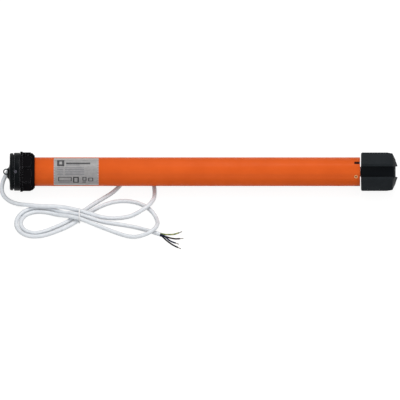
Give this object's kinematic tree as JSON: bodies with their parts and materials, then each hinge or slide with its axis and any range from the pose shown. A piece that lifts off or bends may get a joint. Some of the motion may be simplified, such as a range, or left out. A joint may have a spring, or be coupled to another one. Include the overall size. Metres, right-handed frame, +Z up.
{
  "type": "tubular roller blind motor",
  "caption": "Tubular motor for a roller blind, with an idling crown, an octagonal drive wheel, adjustable limits and a tied supply cable with bare core ends.",
  "frame": {"origin": "on the resting surface, half way along the motor and below its axis", "axes": "+X along the motor's axis towards the drive wheel, +Z up"},
  "size_m": [0.6213, 0.1718, 0.063],
  "materials": {
    "tube_paint": "satin",
    "label_film": "satin",
    "screw_steel": "zinc plated",
    "head_plastic": "fine grain",
    "wheel_plastic": "fine grain",
    "gland_rubber": "matt",
    "clip_steel": "bright",
    "machined_steel": "machined",
    "gear_steel": "sintered",
    "planet_plastic": "satin",
    "bush_bronze": "sintered",
    "core_lamination": "laminated",
    "winding_copper": "enamelled",
    "friction_lining": "matt",
    "capacitor_can": "satin",
    "cable_sheath": "satin",
    "tie_nylon": "satin",
    "earth_sleeve": "satin",
    "brown_sleeve": "satin",
    "blue_sleeve": "satin",
    "black_sleeve": "satin",
    "tinned_copper": "tinned"
  },
  "bodies": {
    "root": {"motor_tube": "tube_paint", "rating_label": "label_film", "tube_screws": "screw_steel", "head_cap": "head_plastic", "head_body": "head_plastic", "head_screws": "screw_steel", "cable_gland": "gland_rubber", "limit_chassis": "head_plastic", "limit_switches": "head_plastic", "capacitor": "capacitor_can", "capacitor_clamp": "head_plastic", "rear_end_shield": "machined_steel", "rear_shaft_bush": "bush_bronze", "stator_stack": "core_lamination", "stator_winding": "winding_copper", "front_end_shield": "machined_steel", "front_shaft_bush": "bush_bronze", "brake_magnet": "machined_steel", "brake_spring": "clip_steel", "brake_plate": "machined_steel", "gearbox_input_plate": "machined_steel", "ring_gear": "gear_steel", "output_bush": "bush_bronze", "gearbox_cap": "head_plastic", "supply_cable_lead": "cable_sheath", "supply_cable_hank": "cable_sheath", "supply_cable_tail": "cable_sheath", "cable_tie": "tie_nylon", "core_earth": "earth_sleeve", "core_brown": "brown_sleeve", "core_blue": "blue_sleeve", "core_black": "black_sleeve", "core_tips": "tinned_copper"},
    "crown": {"crown": "head_plastic"},
    "limit_drive": {"limit_pinion": "gear_steel", "limit_cams": "head_plastic"},
    "limit_screw_up": {"limit_screw_up": "screw_steel"},
    "limit_screw_down": {"limit_screw_down": "screw_steel"},
    "retaining_clip": {"retaining_clip": "clip_steel"},
    "brake_armature": {"brake_armature": "machined_steel"},
    "rotor": {"rotor_core": "core_lamination", "rotor_shaft": "machined_steel", "brake_disc": "friction_lining", "sun_gear": "machined_steel"},
    "first_carrier": {"first_carrier": "machined_steel"},
    "second_carrier": {"second_carrier": "machined_steel"},
    "output": {"output_carrier": "machined_steel", "drive_wheel": "wheel_plastic", "wheel_washer": "screw_steel", "wheel_screw": "screw_steel"},
    "first_planet_1": {"first_planet_1": "planet_plastic"},
    "first_planet_2": {"first_planet_2": "planet_plastic"},
    "first_planet_3": {"first_planet_3": "planet_plastic"},
    "second_planet_1": {"second_planet_1": "planet_plastic"},
    "second_planet_2": {"second_planet_2": "planet_plastic"},
    "second_planet_3": {"second_planet_3": "planet_plastic"},
    "third_planet_1": {"third_planet_1": "planet_plastic"},
    "third_planet_2": {"third_planet_2": "planet_plastic"},
    "third_planet_3": {"third_planet_3": "planet_plastic"}
  },
  "joints": [
    {"name": "drive_spin", "type": "hinge", "parent": "root", "child": "output", "pos_m": [0.28, 0, 0.0315], "axis": [1, 0, 0], "continuous": true},
    {"name": "second_carrier_spin", "type": "hinge", "parent": "root", "child": "second_carrier", "pos_m": [0.17, 0, 0.0315], "axis": [1, 0, 0], "continuous": true},
    {"name": "first_carrier_spin", "type": "hinge", "parent": "root", "child": "first_carrier", "pos_m": [0.14, 0, 0.0315], "axis": [1, 0, 0], "continuous": true},
    {"name": "rotor_spin", "type": "hinge", "parent": "root", "child": "rotor", "pos_m": [0, 0, 0.0315], "axis": [1, 0, 0], "continuous": true},
    {"name": "crown_spin", "type": "hinge", "parent": "root", "child": "crown", "pos_m": [-0.27, 0, 0.0315], "axis": [1, 0, 0], "continuous": true},
    {"name": "limit_drive_spin", "type": "hinge", "parent": "root", "child": "limit_drive", "pos_m": [-0.25, 0.014, 0.0315], "axis": [1, 0, 0], "continuous": true},
    {"name": "limit_screw_up_turn", "type": "hinge", "parent": "root", "child": "limit_screw_up", "pos_m": [-0.28845, 0, 0.0315], "axis": [0, -0.7071, 0.7071], "continuous": true},
    {"name": "limit_screw_down_turn", "type": "hinge", "parent": "root", "child": "limit_screw_down", "pos_m": [-0.28845, 0, 0.0315], "axis": [0, 0.7071, -0.7071], "continuous": true},
    {"name": "clip_pull", "type": "slide", "parent": "root", "child": "retaining_clip", "axis": [-1, 0, 0], "range_m": [0, 0.018]},
    {"name": "brake_release", "type": "slide", "parent": "root", "child": "brake_armature", "axis": [-1, 0, 0], "range_m": [0, 0.0006], "stiffness_N_per_m": 300, "springref_m": -0.002, "deforming": ["brake_spring"]},
    {"name": "first_planet_1_spin", "type": "hinge", "parent": "first_carrier", "child": "first_planet_1", "pos_m": [0.15, 0.01215, 0.0315], "axis": [1, 0, 0], "continuous": true},
    {"name": "first_planet_2_spin", "type": "hinge", "parent": "first_carrier", "child": "first_planet_2", "pos_m": [0.15, -0.00607, 0.04202], "axis": [1, 0, 0], "continuous": true},
    {"name": "first_planet_3_spin", "type": "hinge", "parent": "first_carrier", "child": "first_planet_3", "pos_m": [0.15, -0.00607, 0.02098], "axis": [1, 0, 0], "continuous": true},
    {"name": "second_planet_1_spin", "type": "hinge", "parent": "second_carrier", "child": "second_planet_1", "pos_m": [0.15, 0.01215, 0.0315], "axis": [1, 0, 0], "continuous": true},
    {"name": "second_planet_2_spin", "type": "hinge", "parent": "second_carrier", "child": "second_planet_2", "pos_m": [0.15, -0.00607, 0.04202], "axis": [1, 0, 0], "continuous": true},
    {"name": "second_planet_3_spin", "type": "hinge", "parent": "second_carrier", "child": "second_planet_3", "pos_m": [0.15, -0.00607, 0.02098], "axis": [1, 0, 0], "continuous": true},
    {"name": "third_planet_1_spin", "type": "hinge", "parent": "output", "child": "third_planet_1", "pos_m": [0.15, 0.01215, 0.0315], "axis": [1, 0, 0], "continuous": true},
    {"name": "third_planet_2_spin", "type": "hinge", "parent": "output", "child": "third_planet_2", "pos_m": [0.15, -0.00607, 0.04202], "axis": [1, 0, 0], "continuous": true},
    {"name": "third_planet_3_spin", "type": "hinge", "parent": "output", "child": "third_planet_3", "pos_m": [0.15, -0.00607, 0.02098], "axis": [1, 0, 0], "continuous": true}
  ],
  "couplings": [
    {"joint": "second_carrier_spin", "follows": "drive_spin", "ratio": 4.5},
    {"joint": "first_carrier_spin", "follows": "drive_spin", "ratio": 20.25},
    {"joint": "rotor_spin", "follows": "drive_spin", "ratio": 91.125},
    {"joint": "limit_drive_spin", "follows": "crown_spin", "ratio": 2.4},
    {"joint": "first_planet_1_spin", "follows": "drive_spin", "ratio": -56.7},
    {"joint": "first_planet_2_spin", "follows": "drive_spin", "ratio": -56.7},
    {"joint": "first_planet_3_spin", "follows": "drive_spin", "ratio": -56.7},
    {"joint": "second_planet_1_spin", "follows": "drive_spin", "ratio": -12.6},
    {"joint": "second_planet_2_spin", "follows": "drive_spin", "ratio": -12.6},
    {"joint": "second_planet_3_spin", "follows": "drive_spin", "ratio": -12.6},
    {"joint": "third_planet_1_spin", "follows": "drive_spin", "ratio": -2.8},
    {"joint": "third_planet_2_spin", "follows": "drive_spin", "ratio": -2.8},
    {"joint": "third_planet_3_spin", "follows": "drive_spin", "ratio": -2.8}
  ]
}
